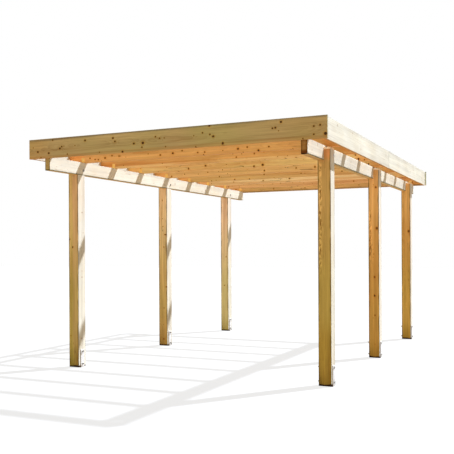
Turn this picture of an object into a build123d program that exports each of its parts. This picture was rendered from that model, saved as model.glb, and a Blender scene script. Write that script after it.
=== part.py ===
"""Open timber carport for one car, a flat roof frame on six notched posts.

Frame: +Z up, +X to the right, the front edge towards -Y. The origin lies on the ground under
the middle of the roof. All sizes are in millimetres.
"""

import os

from build123d import *

# Roof edge: four wide fascia boards round the frame
ROOF_WIDTH = 3200.0
ROOF_LENGTH = 5020.0
FASCIA_HEIGHT = 200.0
FASCIA_THICKNESS = 24.0
FASCIA_END_OVERLAP = 15.0  # the front and rear boards stand this far past the side boards
FASCIA_BELOW_PURLIN_TOP = 18.0
FASCIA_EDGE_RADIUS = 2.5

# Purlins: one beam along each row of posts
PURLIN_WIDTH = 60.0
PURLIN_HEIGHT = 140.0
PURLIN_TOP = 2240.0
PURLIN_EDGE_RADIUS = 4.0

# Rafters: planks on edge, laid across both purlins
RAFTERS_EACH_HALF = 4  # on each side of the middle rafter
MIDDLE_RAFTER_GAP = 656.0  # from the middle rafter to the next one, centre to centre
RAFTER_WIDTH = 45.0
RAFTER_HEIGHT = 120.0
RAFTER_EDGE_RADIUS = 3.0

# Posts: three in a row on each side
POST_SIZE = 125.0
POST_ROWS_WIDTH = 2960.0  # over the outer faces of the two rows
POST_SPACING = 1950.0
POST_EDGE_RADIUS = 4.0
TONGUE_BELOW_PURLIN_TOP = 20.0  # the part of the post that stands outside the purlin
TONGUE_CHAMFER = 3.0

# Post shoes: flat steel bent to a U that holds each post off the ground
SHOE_PLATE = 6.0
SHOE_WIDTH = 60.0
SHOE_LEG_HEIGHT = 195.0
SHOE_BEND_RADIUS = 5.0
SHOE_CORNER_RADIUS = 6.0

# Angle brackets: pressed steel that ties each rafter to the purlins
BRACKET_PLATE = 2.5
BRACKET_WIDTH = 38.0
BRACKET_LEG = 55.0
BRACKET_BEND_RADIUS = 3.5  # over the outside of the bend
BRACKET_CORNER_RADIUS = 5.0
BRACKET_FROM_PURLIN_EDGE = 6.0

# Sizes that follow from the ones above
FRONT = -ROOF_LENGTH / 2
REAR = ROOF_LENGTH / 2
PURLIN_BOTTOM = PURLIN_TOP - PURLIN_HEIGHT
FASCIA_BOTTOM = PURLIN_TOP - FASCIA_BELOW_PURLIN_TOP
SIDE_FASCIA_OUTER = ROOF_WIDTH / 2 - FASCIA_END_OVERLAP
SIDE_FASCIA_INNER = SIDE_FASCIA_OUTER - FASCIA_THICKNESS
FRAME_LENGTH = ROOF_LENGTH - 2 * FASCIA_THICKNESS
POST_OUTER = POST_ROWS_WIDTH / 2
POST_INNER = POST_OUTER - POST_SIZE
POST_CENTRE = POST_OUTER - POST_SIZE / 2
PURLIN_OUTER = POST_INNER + PURLIN_WIDTH
PURLIN_CENTRE = POST_INNER + PURLIN_WIDTH / 2
TONGUE_TOP = PURLIN_TOP - TONGUE_BELOW_PURLIN_TOP

SIDES = {"left": -1, "right": 1}
POST_ROWS = {"front": -POST_SPACING, "middle": 0.0, "rear": POST_SPACING}


def save(part, name):
    """Label one finished piece and write its file."""
    part.label = name
    export_step(part, f"parts/{name}.step")


def rafter_centres():
    """Middle of each rafter along Y: one over the middle posts, then an even row to each end."""
    last = REAR - FASCIA_THICKNESS - RAFTER_WIDTH / 2
    gap = (last - MIDDLE_RAFTER_GAP) / (RAFTERS_EACH_HALF - 1)
    rear_half = [MIDDLE_RAFTER_GAP + step * gap for step in range(RAFTERS_EACH_HALF)]
    front_half = [-centre for centre in reversed(rear_half)]
    return [*front_half, 0.0, *rear_half]


def end_fascia(name, outer_face, inward):
    """A full-width fascia board across the front or the rear of the roof."""
    with BuildPart() as board:
        with BuildSketch(Plane.XZ.offset(-outer_face)):
            with Locations((0, FASCIA_BOTTOM + FASCIA_HEIGHT / 2)):
                Rectangle(ROOF_WIDTH, FASCIA_HEIGHT)
        extrude(amount=-inward * FASCIA_THICKNESS)
        fillet(board.edges().filter_by(Axis.X), FASCIA_EDGE_RADIUS)
    save(board.part, name)


def side_fascia(name, side, start, end):
    """One board of a side fascia, from start to end along Y."""
    centre = side * (SIDE_FASCIA_OUTER - FASCIA_THICKNESS / 2)
    with BuildPart() as board:
        with BuildSketch(Plane.XZ.offset(-start)):
            with Locations((centre, FASCIA_BOTTOM + FASCIA_HEIGHT / 2)):
                RectangleRounded(FASCIA_THICKNESS, FASCIA_HEIGHT, FASCIA_EDGE_RADIUS)
        extrude(amount=start - end)
    save(board.part, name)


def purlin(name, side):
    """The beam that lies in the notches of one row of posts and carries the rafters."""
    with BuildPart() as beam:
        with BuildSketch(Plane.XZ.offset(FRAME_LENGTH / 2)):
            with Locations((side * PURLIN_CENTRE, PURLIN_BOTTOM + PURLIN_HEIGHT / 2)):
                RectangleRounded(PURLIN_WIDTH, PURLIN_HEIGHT, PURLIN_EDGE_RADIUS)
        extrude(amount=-FRAME_LENGTH)
    save(beam.part, name)


def rafter(name, centre):
    """A plank on edge between the side fascias, resting on both purlins."""
    with BuildPart() as plank:
        with BuildSketch(Plane.YZ.offset(-SIDE_FASCIA_INNER)):
            with Locations((centre, PURLIN_TOP + RAFTER_HEIGHT / 2)):
                RectangleRounded(RAFTER_WIDTH, RAFTER_HEIGHT, RAFTER_EDGE_RADIUS)
        extrude(amount=2 * SIDE_FASCIA_INNER)
    save(plank.part, name)


def post(name, side, centre):
    """A square post whose inner half is cut away at the head, so that the purlin sits on it."""
    with BuildPart() as timber:
        with BuildSketch(Plane.XY.offset(SHOE_PLATE)):
            with Locations((side * POST_CENTRE, centre)):
                RectangleRounded(POST_SIZE, POST_SIZE, POST_EDGE_RADIUS)
        extrude(amount=TONGUE_TOP - SHOE_PLATE)
        tongue_top = timber.faces().sort_by(Axis.Z)[-1]
        chamfer(tongue_top.edges(), TONGUE_CHAMFER)
        with BuildSketch(Plane.XY.offset(PURLIN_BOTTOM)):
            with Locations((side * PURLIN_CENTRE, centre)):
                Rectangle(PURLIN_WIDTH, POST_SIZE)
        extrude(amount=PURLIN_HEIGHT, mode=Mode.SUBTRACT)
    save(timber.part, name)


def shoe(name, side, centre):
    """A steel strip bent to a U: its web lies under the post and its legs clasp two faces."""
    half = POST_SIZE / 2 + SHOE_PLATE
    with BuildPart() as strip:
        with BuildSketch(Plane.XZ.offset(-centre + SHOE_WIDTH / 2)):
            with Locations((side * POST_CENTRE, SHOE_LEG_HEIGHT / 2)):
                Rectangle(2 * half, SHOE_LEG_HEIGHT)
            with Locations((side * POST_CENTRE, SHOE_PLATE + SHOE_LEG_HEIGHT / 2)):
                Rectangle(POST_SIZE, SHOE_LEG_HEIGHT, mode=Mode.SUBTRACT)
        extrude(amount=-SHOE_WIDTH)
        foot = strip.edges().filter_by(Axis.Y).group_by(Axis.Z)[0]
        fillet(foot, SHOE_BEND_RADIUS)
        leg_tops = strip.edges().filter_by(Axis.X).group_by(Axis.Z)[-1]
        fillet(leg_tops, SHOE_CORNER_RADIUS)
    save(strip.part, name)


def bracket_row(name, side, centres):
    """The angle brackets along one purlin, one in the corner beside each rafter.

    The left row is on the rafters' front faces and the right row on their rear faces. The
    rafter whose face an end board covers has its bracket on the other face.
    """
    inner_edge = side * (POST_INNER + BRACKET_FROM_PURLIN_EDGE)
    covered = centres[0] if side < 0 else centres[-1]
    with BuildPart() as row:
        for centre in centres:
            facing = -side if centre == covered else side
            corner = centre + facing * RAFTER_WIDTH / 2
            with BuildSketch(Plane.YZ.offset(inner_edge)) as profile:
                with BuildLine():
                    Polyline(
                        (corner, PURLIN_TOP),
                        (corner + facing * BRACKET_LEG, PURLIN_TOP),
                        (corner + facing * BRACKET_LEG, PURLIN_TOP + BRACKET_PLATE),
                        (corner + facing * BRACKET_PLATE, PURLIN_TOP + BRACKET_PLATE),
                        (corner + facing * BRACKET_PLATE, PURLIN_TOP + BRACKET_LEG),
                        (corner, PURLIN_TOP + BRACKET_LEG),
                        close=True,
                    )
                make_face()
                outer_bend, inner_bend = profile.vertices().sort_by_distance((corner, PURLIN_TOP))[:2]
                fillet(outer_bend, BRACKET_BEND_RADIUS)
                fillet(inner_bend, BRACKET_BEND_RADIUS - BRACKET_PLATE)
            extrude(amount=side * BRACKET_WIDTH)
        leg_corners = row.edges().filter_by(Axis.Z).filter_by_position(
            Axis.Z, PURLIN_TOP, PURLIN_TOP + BRACKET_PLATE
        )
        fillet(leg_corners, BRACKET_CORNER_RADIUS)
        upright_corners = row.edges().filter_by(Axis.Y).group_by(Axis.Z)[-1]
        fillet(upright_corners, BRACKET_CORNER_RADIUS)
    save(row.part, name)


def main():
    os.makedirs("parts", exist_ok=True)
    centres = rafter_centres()
    board_joint = centres[RAFTERS_EACH_HALF]  # the side boards meet on the middle rafter's end
    end_fascia("front_fascia", FRONT, inward=1)
    end_fascia("rear_fascia", REAR, inward=-1)
    for number, centre in enumerate(centres, start=1):
        rafter(f"rafter_{number}", centre)
    for side_name, side in SIDES.items():
        side_fascia(f"{side_name}_fascia_front", side, FRONT + FASCIA_THICKNESS, board_joint)
        side_fascia(f"{side_name}_fascia_rear", side, board_joint, REAR - FASCIA_THICKNESS)
        purlin(f"{side_name}_purlin", side)
        bracket_row(f"{side_name}_rafter_brackets", side, centres)
        for row_name, row_centre in POST_ROWS.items():
            post(f"{side_name}_{row_name}_post", side, row_centre)
            shoe(f"{side_name}_{row_name}_shoe", side, row_centre)


main()
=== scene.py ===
"""Looks of an open timber carport: its wood, steel, fixings, studio floor, lamps and camera."""

import math

import bpy
import numpy as np
from bpy.props import FloatProperty, FloatVectorProperty, PointerProperty
from mathutils import Matrix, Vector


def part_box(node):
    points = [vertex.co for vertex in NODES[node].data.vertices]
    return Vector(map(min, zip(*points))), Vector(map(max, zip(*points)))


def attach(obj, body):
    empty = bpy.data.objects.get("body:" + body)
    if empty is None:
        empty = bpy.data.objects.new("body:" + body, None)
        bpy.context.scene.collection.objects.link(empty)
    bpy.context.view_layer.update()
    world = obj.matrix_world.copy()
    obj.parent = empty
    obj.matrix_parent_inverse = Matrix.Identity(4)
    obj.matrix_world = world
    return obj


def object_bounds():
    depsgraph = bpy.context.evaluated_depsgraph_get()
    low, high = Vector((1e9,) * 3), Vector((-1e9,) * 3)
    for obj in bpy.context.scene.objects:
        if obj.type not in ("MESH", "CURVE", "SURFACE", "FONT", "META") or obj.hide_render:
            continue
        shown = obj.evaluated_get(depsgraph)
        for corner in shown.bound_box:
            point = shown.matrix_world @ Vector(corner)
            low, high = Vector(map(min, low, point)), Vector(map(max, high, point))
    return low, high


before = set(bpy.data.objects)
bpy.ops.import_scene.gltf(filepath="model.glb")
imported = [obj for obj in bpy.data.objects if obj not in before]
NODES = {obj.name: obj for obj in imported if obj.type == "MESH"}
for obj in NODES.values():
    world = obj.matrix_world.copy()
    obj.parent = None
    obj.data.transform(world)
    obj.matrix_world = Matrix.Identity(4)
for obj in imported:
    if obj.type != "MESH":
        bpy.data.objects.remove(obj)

bl_info = {
    "name": "Timber Carport Finish",
    "version": (1, 0, 0),
    "blender": (4, 5, 0),
    "location": "View3D > Sidebar > Carport",
    "description": "Finishes a timber carport frame with wood, steel fixings, lamps and a camera",
    "category": "Object",
}

CAD_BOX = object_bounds()
MM = 0.001


# ---- Places, read from the frame ----

def box(name):
    """Lowest and highest corner of a node as arrays, in metres."""
    low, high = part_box(name)
    return np.array(low, dtype=float), np.array(high, dtype=float)


def across_frame(name):
    """The way out of the frame from a node (-1 or 1 along X), and its outer and inner faces."""
    low, high = box(name)
    side = math.copysign(1.0, low[0])
    outer, inner = (high[0], low[0]) if side > 0 else (low[0], high[0])
    return side, outer, inner


def nodes_with(word):
    """Names of the nodes whose names hold a word, in order."""
    return [name for name in sorted(NODES) if word in name]


POSTS = nodes_with("post")
SHOES = nodes_with("shoe")
BRACKETS = nodes_with("brackets")
RAFTERS = [name for name in nodes_with("rafter_") if name not in BRACKETS]
PURLINS = nodes_with("purlin")
SIDE_FASCIAS = nodes_with("_fascia_")
END_FASCIAS = ["front_fascia", "rear_fascia"]


# ---- Shader graph helper ----

def signed(operation, swapped=False):
    """The method behind one sign of arithmetic: a math node with both sides, or with them
    swapped where a number stands before the sign."""
    def method(value, other):
        sides = (other, value) if swapped else (value, other)
        return value.graph.math(operation, *sides)
    return method


class Value:
    """What a node puts out. Signs between values, numbers and vectors add nodes."""

    def __init__(self, graph, socket):
        self.graph, self.socket = graph, socket

    __add__, __radd__ = signed("ADD"), signed("ADD", swapped=True)
    __sub__, __rsub__ = signed("SUBTRACT"), signed("SUBTRACT", swapped=True)
    __mul__, __rmul__ = signed("MULTIPLY"), signed("MULTIPLY", swapped=True)
    __truediv__, __rtruediv__ = signed("DIVIDE"), signed("DIVIDE", swapped=True)
    __pow__ = signed("POWER")

    def __abs__(self):
        return self.graph.math("ABSOLUTE", self)


class Graph:
    """Short calls that add nodes to one node tree and join them up."""

    def __init__(self, tree):
        self.tree = tree

    def add(self, kind, **settings):
        made = self.tree.nodes.new(kind)
        for key, value in settings.items():
            setattr(made, key, value)
        return made

    def put(self, socket, value):
        """Links a socket, or sets its constant. One number will do for an even vector, and a
        colour may leave out its alpha of 1."""
        if isinstance(value, Value):
            self.tree.links.new(value.socket, socket)
            return
        if socket.type == "VECTOR" and isinstance(value, float):
            value = (value, value, value)
        elif socket.type == "RGBA" and len(value) == 3:
            value = (*value, 1.0)
        socket.default_value = value

    def give(self, sockets, **values):
        """Puts several values by the names of their sockets, with _ for a space."""
        for key, value in values.items():
            self.put(sockets[key.replace("_", " ")], value)

    def values(self, made):
        """Everything that a node puts out, by name."""
        return {socket.name: Value(self, socket) for socket in made.outputs}

    def first(self, made, *inputs, **named):
        """Sets a node's inputs, in order or by name, and gives what it puts out first."""
        for socket, value in zip(made.inputs, inputs):
            self.put(socket, value)
        self.give(made.inputs, **named)
        return Value(self, made.outputs[0])

    def read(self, kind, label):
        """One output of a node without inputs, such as a coordinate."""
        return self.values(self.add(kind))[label]

    def show(self, kind, surface):
        """Ends the tree with an output node for its surface."""
        self.give(self.add(kind).inputs, Surface=surface)

    def math(self, operation, *sides):
        """Arithmetic on numbers, or on vectors if a side is one."""
        types = {side.socket.type if isinstance(side, Value) else type(side) for side in sides}
        kind = "ShaderNodeVectorMath" if types & {"VECTOR", "RGBA", tuple} else "ShaderNodeMath"
        return self.first(self.add(kind, operation=operation), *sides)

    def length(self, vector):
        made = self.add("ShaderNodeVectorMath", operation="LENGTH")
        self.put(made.inputs[0], vector)
        return self.values(made)["Value"]

    def split(self, vector):
        made = self.add("ShaderNodeSeparateXYZ")
        self.put(made.inputs[0], vector)
        return self.values(made).values()

    def join(self, x=0.0, y=0.0, z=0.0):
        return self.first(self.add("ShaderNodeCombineXYZ"), x, y, z)

    def noise(self, place, stretch=1.0, detail=2.0, roughness=0.5, output="Fac"):
        """Noise at a place that is multiplied by stretch first, along each axis or along all."""
        made = self.add("ShaderNodeTexNoise")
        self.give(made.inputs, Vector=place * stretch, Scale=1.0, Detail=detail, Roughness=roughness)
        return self.values(made)[output]

    def line_noise(self, place, detail):
        """Noise along a line."""
        made = self.add("ShaderNodeTexNoise", noise_dimensions="1D")
        return self.first(made, W=place, Scale=1.0, Detail=detail, Roughness=0.5)

    def drift(self, place, stretch, detail, reach):
        """A small step in any direction, up to about half the reach, that noise changes."""
        return (self.noise(place, stretch, detail=detail, output="Color") - 0.5) * reach

    def cells(self, place, dimensions):
        """The nearest of many scattered cells: its random Color and the Distance to its middle."""
        made = self.add("ShaderNodeTexVoronoi", voronoi_dimensions=dimensions, feature="F1")
        self.give(made.inputs, Vector=place, Scale=1.0)
        return self.values(made)

    def smooth(self, value, start, end):
        """0 at start, 1 at end, eased between; start may be the larger."""
        made = self.add("ShaderNodeMapRange", interpolation_type="SMOOTHSTEP")
        return self.first(made, value, start, end)

    def near(self, value, centre, far, close):
        """0 where a value is far from a centre, eased to 1 where it is close."""
        return self.smooth(abs(value - centre), far, close)

    def spread(self, value, start, end, low, high):
        """Straight-line change of range, clamped."""
        return self.first(self.add("ShaderNodeMapRange"), value, start, end, low, high)

    def vary(self, noise, low, high):
        """Noise, which keeps mostly between 0.3 and 0.7, carried to another range."""
        return self.spread(noise, 0.3, 0.7, low, high)

    def mix(self, factor, first, second, blend="MIX"):
        made = self.add("ShaderNodeMix", data_type="RGBA", blend_type=blend)
        for index, value in ((0, factor), (6, first), (7, second)):
            self.put(made.inputs[index], value)
        return Value(self, made.outputs[2])

    def tint(self, colour, factor, other):
        """A colour multiplied by another where the factor is 1."""
        return self.mix(factor, colour, other, "MULTIPLY")

    def shade(self, colour, level):
        """A colour multiplied by one level in red, green and blue."""
        return self.tint(colour, 1.0, self.join(level, level, level))


def new_group(name, outputs, **inputs):
    """A shader node group: graph, inner inputs, inner outputs. It puts out the named masks, and
    each input comes with its default, None for a vector, and has _ for a space in its name."""
    tree = bpy.data.node_groups.new(name, "ShaderNodeTree")
    for label, default in inputs.items():
        kind = "NodeSocketVector" if default is None else "NodeSocketFloat"
        socket = tree.interface.new_socket(label.replace("_", " "), in_out="INPUT", socket_type=kind)
        if default is not None:
            socket.default_value = default
    for label in outputs:
        tree.interface.new_socket(label, in_out="OUTPUT", socket_type="NodeSocketFloat")
    graph = Graph(tree)
    return graph, graph.values(graph.add("NodeGroupInput")), graph.add("NodeGroupOutput").inputs


def use_group(graph, name, **values):
    """Places a group in a tree and gives it values by name, with _ for a space."""
    made = graph.add("ShaderNodeGroup", node_tree=bpy.data.node_groups[name])
    graph.give(made.inputs, **values)
    return graph.values(made)


# ---- Shader groups ----

KNOT_MASKS = ("Knot", "Rim", "Halo", "Swirl")


def knot_masks(graph, reach, size):
    """Masks by the distance from a branch's middle, as a share of its radius: Knot inside it,
    Rim on the bark round it, Halo where the wood round it is dark with resin, and the Swirl that
    bends the rings past it, which falls off with the distance squared."""
    return {
        "Knot": graph.smooth(reach, 1.08, 0.85),
        "Rim": graph.near(reach, 1.0, 0.35, 0.0),
        "Halo": graph.smooth(reach, 2.8, 1.1),
        "Swirl": size / (1.0 + (reach * 0.55) ** 2.0),
    }


def build_knots_group():
    """Branches that radiate from the heart of the log. Places along the board and round the
    heart are scattered in cells; each cell may hold one branch of its own thickness."""
    graph, given, out = new_group(
        "Timber Knots", (*KNOT_MASKS, "Tone"), Along=0.0, Angle=0.0, Radius=0.1, Seed=0.0,
        Cell=0.11, Share=0.7, Smallest=0.003, Largest=0.013)
    cell, seed = given["Cell"], given["Seed"]
    arc = given["Angle"] * given["Radius"]
    place = graph.join(given["Along"] / cell + seed, arc / cell + seed)
    cells = graph.cells(place, "2D")
    red, green, blue = graph.split(cells["Color"])
    present = graph.math("LESS_THAN", green, given["Share"])
    size = graph.spread(red ** 2.0, 0.0, 1.0, given["Smallest"], given["Largest"])
    reach = cells["Distance"] * cell / size
    reach = reach + graph.vary(graph.noise(place, 14.0, detail=1.0), -0.18, 0.18)
    for label, mask in knot_masks(graph, reach, size).items():
        graph.put(out[label], mask * present)
    graph.put(out["Tone"], blue)


def build_placed_knot_group():
    """One branch at a known place on a board's face, a little longer along the grain."""
    graph, given, out = new_group("Placed Knot", KNOT_MASKS, Vector=None, Place=None, Radius=0.006)
    offset = (given["Vector"] - given["Place"]) * (0.85, 1.0, 0.0)
    reach = graph.length(offset) / given["Radius"]
    reach = reach + graph.vary(graph.noise(given["Vector"], 150.0, detail=1.0), -0.16, 0.16)
    graph.give(out, **knot_masks(graph, reach, given["Radius"]))


def heart_line(graph, given, x):
    """The heart of the log beside each place along the board: it wanders and wobbles."""
    lengthwise = x + given["Seed"] * 5.3
    heart = given["Heart"]
    for pace, detail, reach in ((0.7, 1.0, 0.075), (4.5, 2.0, 0.008)):
        place = graph.join(lengthwise * pace, given["Seed"])
        heart = heart + graph.drift(place, 1.0, detail, reach)
    return heart


def build_figure_group():
    """Softwood figure in board coordinates: X along the grain, Y and Z across it. Growth rings
    are shells round a heart line that wanders along the board; knots push them aside. Fine
    fibres, lines, slow streaks and drying checks run along the grain."""
    graph, given, out = new_group(
        "Timber Figure",
        ("Ring", "Fibre", "Lines", "Streak", "Knot", "Rim", "Halo", "Tone", "Check", "Height"),
        Vector=None, Heart=None, Seed=0.0, Ring_Width=0.004, Knot_Cell=0.11, Knot_Share=0.7,
        Knot_Radius=0.1, Smallest_Knot=0.003, Largest_Knot=0.013, Push=0.0)
    x, _, _ = graph.split(given["Vector"])
    _, across, depth = graph.split(given["Vector"] - heart_line(graph, given, x))
    knots = use_group(
        graph, "Timber Knots", Along=x, Angle=graph.math("ARCTAN2", depth, across),
        Radius=given["Knot Radius"], Seed=given["Seed"], Cell=given["Knot Cell"],
        Share=given["Knot Share"], Smallest=given["Smallest Knot"], Largest=given["Largest Knot"])
    seeded = given["Vector"] + (3.7, 1.3, 2.1) * given["Seed"]
    radius = graph.math("SQRT", across * across + depth * depth)
    radius = radius + (graph.noise(seeded, (2.0, 26.0, 26.0)) - 0.5) * 0.007
    radius = radius + (knots["Swirl"] + given["Push"]) * 1.5
    ring = graph.math("FRACT", radius / given["Ring Width"]) ** 2.2
    ring = ring * graph.vary(graph.line_noise(radius * 90.0, detail=2.0), 0.35, 1.0)
    band = graph.line_noise(radius * 34.0 + given["Seed"], detail=1.5)
    fibre = graph.noise(seeded, (7.0, 620.0, 620.0), detail=2.0, roughness=0.6)
    lines = graph.noise(seeded, (1.5, 95.0, 95.0), detail=3.0, roughness=0.6)
    streak = graph.noise(seeded, (0.8, 20.0, 20.0), detail=3.0, roughness=0.55)
    streak = streak * 0.6 + band * 0.4
    crack = graph.near(graph.noise(seeded, (1.3, 34.0, 34.0), detail=1.0), 0.5, 0.011, 0.002)
    check = crack * graph.smooth(graph.noise(seeded, (1.1, 5.0, 5.0), detail=1.0), 0.56, 0.64)
    height = (ring + fibre) * 0.35 - check * 1.6 - knots["Rim"] * 0.5
    graph.give(out, Ring=ring, Fibre=fibre, Lines=lines, Streak=streak, Check=check, Height=height)
    for label in ("Knot", "Rim", "Halo", "Tone"):
        graph.put(out[label], knots[label])


def build_edges_group():
    """Masks on a straight board: Edge near its long corners, End on its sawn end faces and Rim
    round the end faces. The larger of the distances to two sides is that to a corner."""
    graph, given, out = new_group(
        "Board Edges", ("Edge", "End", "Rim"), Vector=None, Half_Size=None, Width=0.006)
    along, across, depth = graph.split(given["Half Size"] - abs(given["Vector"]))
    edge_waver = graph.vary(graph.noise(given["Vector"], (9.0, 60.0, 60.0)), 0.4, 1.6)
    corner = graph.math("MAXIMUM", across, depth) / (given["Width"] * edge_waver)
    end = graph.smooth(along, 0.0008, 0.0003)
    border = graph.smooth(graph.math("MINIMUM", across, depth), 0.014, 0.004)
    graph.give(out, Edge=graph.smooth(corner, 1.0, 0.2), End=end, Rim=end * border)


def build_damp_and_painted_light_group():
    """Masks by height above the ground in metres: the first fades upwards, for damp and dust that
    climb a post and for painted shade towards the ground; Splash is the lowest part; and Foot is the
    post's very end, for a painted shadow."""
    graph, given, out = new_group(
        "Ground Damp", ("Damp", "Splash", "Foot"), Vector=None, Reach=0.6, Splash_Height=0.09)
    _, _, height = graph.split(given["Vector"])
    patchy = graph.noise(given["Vector"], (9.0, 9.0, 2.5), detail=3.0)
    level = height + graph.vary(patchy, -0.06, 0.06)
    # How high the painted shadow at the foot reaches, a little uneven
    foot_level = height + graph.vary(patchy, -0.006, 0.006)
    graph.give(
        out,
        Damp=graph.smooth(level / given["Reach"], 1.0, 0.35),
        Splash=graph.smooth(level / given["Splash Height"], 1.0, 0.0),
        Foot=graph.smooth(foot_level, 0.030, 0.016),
    )


def build_weather_and_light_group():
    """Masks by the way that the surface faces, patchily: the right sides, painted pale as painted
    sunlight; the rear faces and the tops, greyed like weathered wood and also kept darker as
    painted shade where the key lamp falls strongest; and the undersides, darkened as painted shade."""
    graph, given, out = new_group(
        "Weather", ("Bleach", "Rear", "Silver", "Under"), Vector=None, Amount=0.5)
    right, rear, up = graph.split(graph.read("ShaderNodeNewGeometry", "True Normal"))
    patchy = graph.noise(given["Vector"], 3.0, detail=3.0)
    share = given["Amount"] * graph.vary(patchy, 0.85, 1.1)
    graph.give(
        out,
        Bleach=graph.smooth(right, 0.35, 0.95) * share,
        Rear=graph.smooth(rear, 0.35, 0.95) * share * 0.7,
        Silver=graph.smooth(up, 0.5, 0.95) * graph.vary(patchy, 0.55, 0.95),
        Under=graph.smooth(up, -0.4, -0.9) * graph.vary(patchy, 0.8, 1.0),
    )


def build_zinc_group():
    """Zinc spangle: cells of crystals with slightly different brightness, and a fine grain."""
    graph, given, out = new_group("Zinc Spangle", ("Tone", "Grain"), Vector=None, Size=0.007)
    place = given["Vector"] + graph.drift(given["Vector"], 90.0, 2.0, 0.004)
    place = place * (1.0 / given["Size"])
    tone, _, _ = graph.split(graph.cells(place, "3D")["Color"])
    graph.give(out, Tone=tone, Grain=graph.noise(given["Vector"], 700.0, detail=3.0))


def build_groups():
    """Builds every shared group once, the inner ones first."""
    build_knots_group()
    build_placed_knot_group()
    build_figure_group()
    build_edges_group()
    build_damp_and_painted_light_group()
    build_weather_and_light_group()
    build_zinc_group()


# ---- Looks of the wood ----

# What a kind of board has unless its look says otherwise
PLAIN = dict(drip=0.0, bands=(), stains=(), damp=False)
# The kinds of board. Widths and sizes are in metres, heart_depth counts thicknesses from the
# middle of a board to the heart of its log, and strengths and shares go from 0 to 1
# Among a kind's values, one share paints the right sides pale as painted sunlight, and others colour the
# undersides, a purlin's lower edge and the long corners as painted shade
LOOKS = {
    "fascia": dict(
        PLAIN, colour=(0.468, 0.338, 0.150), late_colour=(0.315, 0.200, 0.077),
        tint=(0.88, 1.0, 0.84), tint_share=0.8, red_streak=(1.0, 0.90, 0.80), pale_streak=(1.04, 1.08, 1.16),
        knot_dark=(0.030, 0.008, 0.001), knot_light=(0.07, 0.022, 0.004),
        edge=(0.16, 0.10, 0.035), under=(1.15, 0.86, 0.66), end=(0.55, 0.47, 0.4),
        ring_width=0.0045, ring_strength=0.55, streak=0.2, lines=0.11, roughness=0.72, heart_depth=7.0,
        knot_cell=0.105, knot_share=0.75, small_knot=0.004, large_knot=0.010,
        edge_share=0.0, edge_width=0.010, bleach=0.85,
        bands=((0.184, 0.202, (0.62, 0.66, 0.80)), (-0.02, 0.028, (0.97, 0.86, 0.76))),
    ),
    "rafter": dict(
        PLAIN, colour=(0.745, 0.439, 0.173), late_colour=(0.600, 0.288, 0.091),
        tint=(0.9, 0.98, 0.92), tint_share=0.7, red_streak=(1.0, 0.84, 0.74), pale_streak=(1.06, 1.12, 1.22),
        knot_dark=(0.050, 0.010, 0.001), knot_light=(0.16, 0.045, 0.008),
        edge=(0.62, 0.33, 0.12), under=(0.94, 0.86, 0.78), end=(0.55, 0.45, 0.38),
        ring_width=0.004, ring_strength=0.5, streak=0.16, lines=0.09, roughness=0.7, heart_depth=2.5,
        knot_cell=0.11, knot_share=0.8, small_knot=0.003, large_knot=0.009,
        edge_share=0.15, edge_width=0.006, bleach=0.5,
        stains=((1.33, 1.42, (1.14, 0.94, 0.80)), (-1.33, -1.42, (1.14, 0.94, 0.80))),
    ),
    "purlin": dict(
        PLAIN, colour=(0.600, 0.377, 0.148), late_colour=(0.430, 0.224, 0.072),
        tint=(0.88, 1.0, 0.88), tint_share=0.7, red_streak=(1.0, 0.9, 0.8), pale_streak=(1.04, 1.08, 1.15),
        knot_dark=(0.06, 0.020, 0.005), knot_light=(0.22, 0.08, 0.02),
        edge=(0.24, 0.15, 0.05), under=(1.08, 1.02, 0.82), end=(0.36, 0.30, 0.22),
        ring_width=0.004, ring_strength=0.45, streak=0.14, lines=0.08, roughness=0.7, heart_depth=1.9,
        knot_cell=0.13, knot_share=0.55, small_knot=0.004, large_knot=0.012,
        edge_share=0.5, edge_width=0.008, bleach=0.85, drip=0.88,
    ),
    "post": dict(
        PLAIN, colour=(0.660, 0.408, 0.159), late_colour=(0.470, 0.255, 0.080),
        tint=(0.88, 1.0, 0.84), tint_share=0.6, red_streak=(1.0, 0.88, 0.78), pale_streak=(1.05, 1.10, 1.18),
        knot_dark=(0.05, 0.016, 0.003), knot_light=(0.18, 0.065, 0.015),
        edge=(0.17, 0.10, 0.02), under=(0.4, 0.35, 0.3), end=(0.9, 0.72, 0.6),
        ring_width=0.0045, ring_strength=0.5, streak=0.22, lines=0.11, roughness=0.72, heart_depth=0.35,
        knot_cell=0.14, knot_share=0.5, small_knot=0.004, large_knot=0.010,
        edge_share=0.92, edge_width=0.0145, bleach=0.85, damp=True,
    ),
}
# What the wood of single boards is multiplied by
TONES = {
    "rafter_1": (0.98, 0.92, 0.86),
    "rafter_2": (1.08, 0.98, 0.87),
    "rafter_3": (1.05, 0.96, 0.83),
    "rafter_4": (1.17, 1.33, 1.38),
    "rafter_5": (1.03, 1.05, 1.05),
    "rafter_6": (1.07, 1.13, 1.14),
    "rafter_7": (1.30, 1.62, 2.20),
    "rafter_8": (1.03, 0.98, 1.08),
    "rafter_9": (0.93, 0.92, 0.87),
    "left_front_post": (1.11, 1.09, 1.41),
    "left_middle_post": (1.44, 1.56, 2.35),
    "left_rear_post": (1.44, 1.66, 2.95),
    "right_front_post": (0.90, 0.86, 0.77),
    "right_middle_post": (1.14, 0.91, 0.77),
    "right_rear_post": (1.14, 0.95, 0.80),
}
# Lengthwise bands on single boards, in metres up from the lower edge, or from the left side
# of a post: start, end and the colour that the wood is multiplied by
BANDS = {
    "rafter_3": ((-0.02, 0.027, (1.18, 1.42, 1.80)),),
    "rafter_6": ((-0.02, 0.010, (0.93, 0.90, 0.90)),),
    "left_front_post": ((-0.02, 0.050, (0.94, 1.03, 0.80)),),
    "right_middle_post": ((0.060, 0.084, (0.92, 0.88, 0.80)),),
}
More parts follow.
